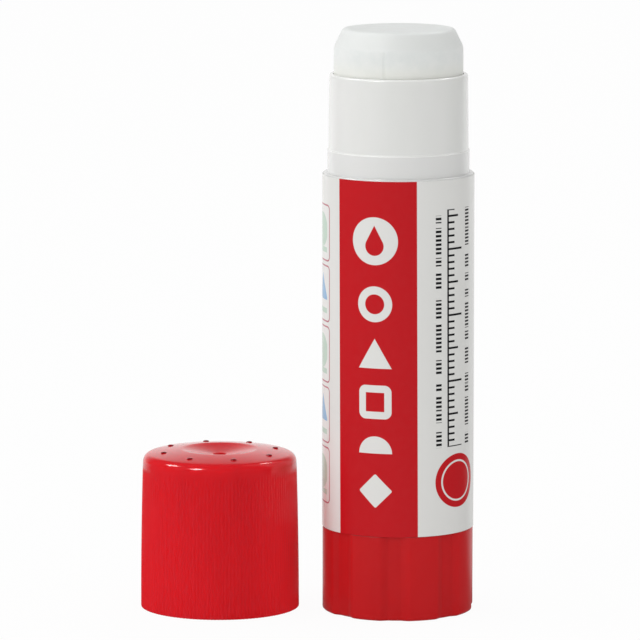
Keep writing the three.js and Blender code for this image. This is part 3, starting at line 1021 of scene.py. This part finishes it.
cap = {
    "footRadius": capHigh.x - capCentre.x,
    "draft": 0.0007,
    "height": 24.25,
    "shoulder": 1.25,
    "shoulderSteps": 12,
    "wall": 1.27,
    "wallDraft": 0.28,
    "bore": 10.78,
    "boreMouth": 0.3,
    "land": 4.0,
    "landStep": 0.13,
    "landSlope": 0.6,
    "crown": 1.15,
    "crownRadius": 62,
    "crownSteps": 9,
    "dish": 5.7,
    "dishCone": 0.122,
    "dishBend": 0.0092,
    "dishRim": 0.35,
    "dishSteps": 12,
    "gate": 1.05,
    "gateDepth": 0.2,
    "gateTaper": 0.8,
    "ribs": 136,
    "ribDepth": 0.085,
    "ribRows": (0.6, 4, 8, 12, 16),
    "ribFull": 20.7,
    "ribEnd": 22.0,
    "ribFadeRows": 4,
    "pips": 8,
    "pipClock": 14.8,
    "pipRing": 8.75,
    "pipRadius": 0.46,
    "pipHeight": 0.15,
    "pipRaise": 0.06,
    "stopFoot": 15.1,
    "stopReach": 0.86,
    "stopWidth": 0.8,
    "stopRoot": 0.3,
    "stepsPerRib": 6,
}


def capSide(z):
    # the draft grows with the height
    return cap["footRadius"] - cap["draft"] * z * z


def sphereAt(radius, ball):
    # how far a sphere has fallen at a radius
    return ball - math.sqrt(ball * ball - radius * radius)


def dishDepth(radius):
    # a shallow cone that steepens a little towards the rim
    rim = cap["dish"]
    return cap["dishCone"] * (rim - radius) + cap["dishBend"] * (rim * rim - radius * radius)


def capShape(radius, clock, z):
    # ribs all round the outside of the skirt, fading out below the shoulder
    c = cap
    if radius > c["bore"] + 0.5 and z < c["ribEnd"]:
        wave = 0.5 - 0.5 * math.cos(math.radians(clock * c["ribs"]))
        depth = c["ribDepth"] * (1 - smoothStep(z, c["ribFull"], c["ribEnd"]))
        radius -= depth * wave
    return radius, z


def capCrown():
    # the shoulder's arc, the crown's dome, the dish and the gate mark, from the side to the axis
    c = cap
    top = c["height"]
    ball, rounding = c["crownRadius"], c["shoulder"]
    peak = top + sphereAt(c["dish"], ball)
    edge = capSide(top - rounding) - rounding
    middle = peak - ball + math.sqrt((ball - rounding) ** 2 - edge ** 2)
    meets = math.atan2(middle - peak + ball, edge)
    points = []
    for i in range(c["shoulderSteps"] + 1):
        angle = meets * i / c["shoulderSteps"]
        points.append((edge + rounding * math.cos(angle), middle + rounding * math.sin(angle)))
    outer = points[-1][0]
    for i in range(1, c["crownSteps"] + 1):
        radius = outer + (c["dish"] + c["dishRim"] - outer) * i / c["crownSteps"]
        points.append((radius, peak - sphereAt(radius, ball)))
    points.append((c["dish"], top, 0.3))
    for i in range(1, c["dishSteps"] + 1):
        inwards = (c["gate"] - c["dish"] + c["dishRim"]) * i / c["dishSteps"]
        radius = c["dish"] - c["dishRim"] + inwards
        points.append((radius, top - dishDepth(radius)))
    pit = top - dishDepth(c["gate"]) - c["gateDepth"]
    return points + [(c["gate"] * c["gateTaper"], pit, 0.06), (0, pit)], peak


def makeCap():
    c = cap
    crown, peak = capCrown()
    under = crown[c["shoulderSteps"]][1] - c["crown"]
    boreTop = c["footRadius"] - c["wall"] - c["wallDraft"]
    fade = (c["ribEnd"] - c["ribFull"]) / c["ribFadeRows"]
    ribHeights = (*c["ribRows"], *(c["ribFull"] + fade * i for i in range(c["ribFadeRows"] + 1)))
    corners = [
        (0, under),
        (boreTop, under, 1.5),
        (c["bore"] - c["landStep"], c["land"] + c["landSlope"]),
        (c["bore"], c["land"]),
        (c["bore"], c["boreMouth"]),
        (c["bore"] + c["boreMouth"], 0),
        (capSide(0), 0, 0.12),
        *((capSide(z), z) for z in ribHeights),
        *crown,
    ]
    bm = turned(corners, c["ribs"] * c["stepsPerRib"], segments=6)
    reshape(bm, capShape)
    addBlocks(
        bm, c["pips"], c["pipClock"], boreTop - c["stopReach"], boreTop + c["stopRoot"],
        c["stopWidth"], c["stopFoot"], under + c["stopRoot"],
    )
    seat = peak - sphereAt(c["pipRing"], c["crownRadius"]) + c["pipRaise"]
    size = Matrix.Diagonal((c["pipRadius"] * mm, c["pipRadius"] * mm, c["pipHeight"] * mm, 1))
    for i in range(c["pips"]):
        place = clockMatrix(c["pipClock"] + 360 * i / c["pips"], c["pipRing"], seat)
        bmesh.ops.create_uvsphere(bm, u_segments=24, v_segments=12, radius=1, matrix=place @ size)
    bmesh.ops.translate(bm, verts=bm.verts[:], vec=(capCentre.x * mm, capCentre.y * mm, 0))
    finishPiece("cap_shell", bm, capFinish, "cap", "cap")


capFinish = material("red_plastic_cap", redPlastic["cap"]["constants"], paintCap)
makeCap()


# the hidden lead screw and carrier keep their CAD meshes

whiteFinish = material("white_plastic", whitePlastic["constants"], paintWhite)
for name in ("spindle", "carrier"):
    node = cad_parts[name]
    node.data.materials.clear()
    node.data.materials.append(whiteFinish)
print("inner pieces finished")


# studio, in metres: white surroundings a little brighter from the left, a white backdrop to mirror
# behind the object and a dark one in front, lamps, each with a disc that only shows as a glint, and
# a pale floor

studio = {
    "dim": 0.05,
    "ambient": {"level": 0.97, "fromLeft": 0.3, "overhead": 0.33},
    "backdrop": {"level": 0.87, "from": 0.55, "to": 0.93, "lean": 0.34},
    "streak": {"level": 0.05, "from": 0.97, "to": 0.995, "towards": (-0.5, -0.86, -0.1)},
    "floor": {
        "size": 6.0,
        "white": (0.86, 0.86, 0.86, 1),
        "glow": 0.95,
        "fill": 0.25,
        "from": 0.4,
        "to": 0.8,
        "nearEnd": (100, 0.75),  # millimetres behind the object, and how bright it mirrors there
        "farEnd": (500, 0.95),
    },
    "aim": (-0.0135, 0, 0.05),
    "lampWide": 0.3,
    "lampTall": 0.03,
    "lampFar": 0.8,
    "lamps": (
        # a glint is the disc's width and its watts
        {"name": "left", "towards": (-0.73, 0.1, 0.676), "watts": 0.3, "glint": (0.22, 2.5)},
        {"name": "front_left", "towards": (-0.5, -0.62, 0.6), "watts": 0.5, "glint": (0.22, 4.0)},
        {"name": "right", "towards": (0.41, 0.5, 0.74), "watts": 0.35, "glint": (0.12, 1.1)},
    ),
}


def lightPath(finish, *rays):
    return anyOf(finish.add("ShaderNodeLightPath", output=ray) for ray in rays)


def makeWorld():
    world = bpy.data.worlds.new("studio")
    world.use_nodes = True
    bpy.context.scene.world = world
    finish = Finish(world.node_tree)
    direction = finish.add("ShaderNodeTexCoord", output="Generated")
    x, y, z = finish.parts(direction)
    ambient, back, streak = studio["ambient"], studio["backdrop"], studio["streak"]
    behind = y - abs(z) * back["lean"]
    behind = behind.ramp(back["from"], back["to"], studio["dim"], back["level"])
    towards = Vector(streak["towards"]).normalized()
    facing = x * towards.x + y * towards.y + z * towards.z
    facing = facing.ramp(streak["from"], streak["to"], 0.0, streak["level"])
    soft = ambient["level"] - x * ambient["fromLeft"] - z * z * ambient["overhead"]
    seen = lightPath(finish, "Is Camera Ray", "Is Transmission Ray")
    mirrored = lightPath(finish, "Is Glossy Ray")
    strength = mirrored * (behind + facing) + (1 - mirrored) * soft
    values = {"Color": (1, 1, 1, 1), "Strength": seen + (1 - seen) * strength}
    background = finish.add("ShaderNodeBackground", None, values)
    finish.add("ShaderNodeOutputWorld", None, {"Surface": background})


def floorPaper():
    # white where the camera looks, with the object's shadow, and as bright as the backdrop where it
    # is mirrored
    floor = studio["floor"]
    paper = bpy.data.materials.new("floor_paper")
    paper.use_nodes = True
    finish = Finish(paper.node_tree)
    lit = finish.add("ShaderNodeBsdfDiffuse", None, {"Color": floor["white"]})
    glow = finish.add("ShaderNodeEmission", None, {"Color": (1, 1, 1, 1), "Strength": 1.0})
    seen = lightPath(finish, "Is Camera Ray", "Is Transmission Ray") * floor["glow"] | floor["fill"]
    plain = finish.add("ShaderNodeMixShader", None, {0: seen, 1: lit, 2: glow})
    x, y, z = finish.parts(finish.place())
    behind = y / (x * x + y * y + 1).calc("SQRT")
    (nearAt, nearLevel), (farAt, farLevel) = floor["nearEnd"], floor["farEnd"]
    level = y.ramp(nearAt, farAt, nearLevel, farLevel)
    level = behind.ramp(floor["from"], floor["to"], studio["dim"], level)
    mirror = finish.add("ShaderNodeEmission", None, {"Color": (1, 1, 1, 1), "Strength": level})
    glossy = lightPath(finish, "Is Glossy Ray")
    surface = finish.add("ShaderNodeMixShader", None, {0: glossy, 1: plain, 2: mirror})
    finish.add("ShaderNodeOutputMaterial", None, {"Surface": surface})
    return paper


def makeFloor():
    bm = bmesh.new()
    bmesh.ops.create_grid(bm, x_segments=1, y_segments=1, size=studio["floor"]["size"] / 2)
    mesh = bpy.data.meshes.new("floor")
    bm.to_mesh(mesh)
    bm.free()
    mesh.materials.append(floorPaper())
    floor = bpy.data.objects.new("floor", mesh)
    bpy.context.scene.collection.objects.link(floor)


def addLamp(name, towards, shape, wide, watts):
    data = bpy.data.lights.new(name, "AREA")
    data.shape = shape
    data.size = wide
    data.size_y = studio["lampTall"]
    data.energy = watts
    light = bpy.data.objects.new(name, data)
    light.location = Vector(studio["aim"]) + towards * studio["lampFar"]
    light.rotation_euler = (-towards).to_track_quat("-Z", "Y").to_euler()
    bpy.context.scene.collection.objects.link(light)
    return light


def makeLamps():
    for lamp in studio["lamps"]:
        towards = Vector(lamp["towards"]).normalized()
        addLamp(lamp["name"], towards, "RECTANGLE", studio["lampWide"], lamp["watts"])
        disc = addLamp(lamp["name"] + "_glint", towards, "DISK", *lamp["glint"])
        disc.visible_diffuse = False


makeWorld()
makeFloor()
makeLamps()
bpy.context.scene.view_settings.view_transform = "Standard"
print("studio lit")
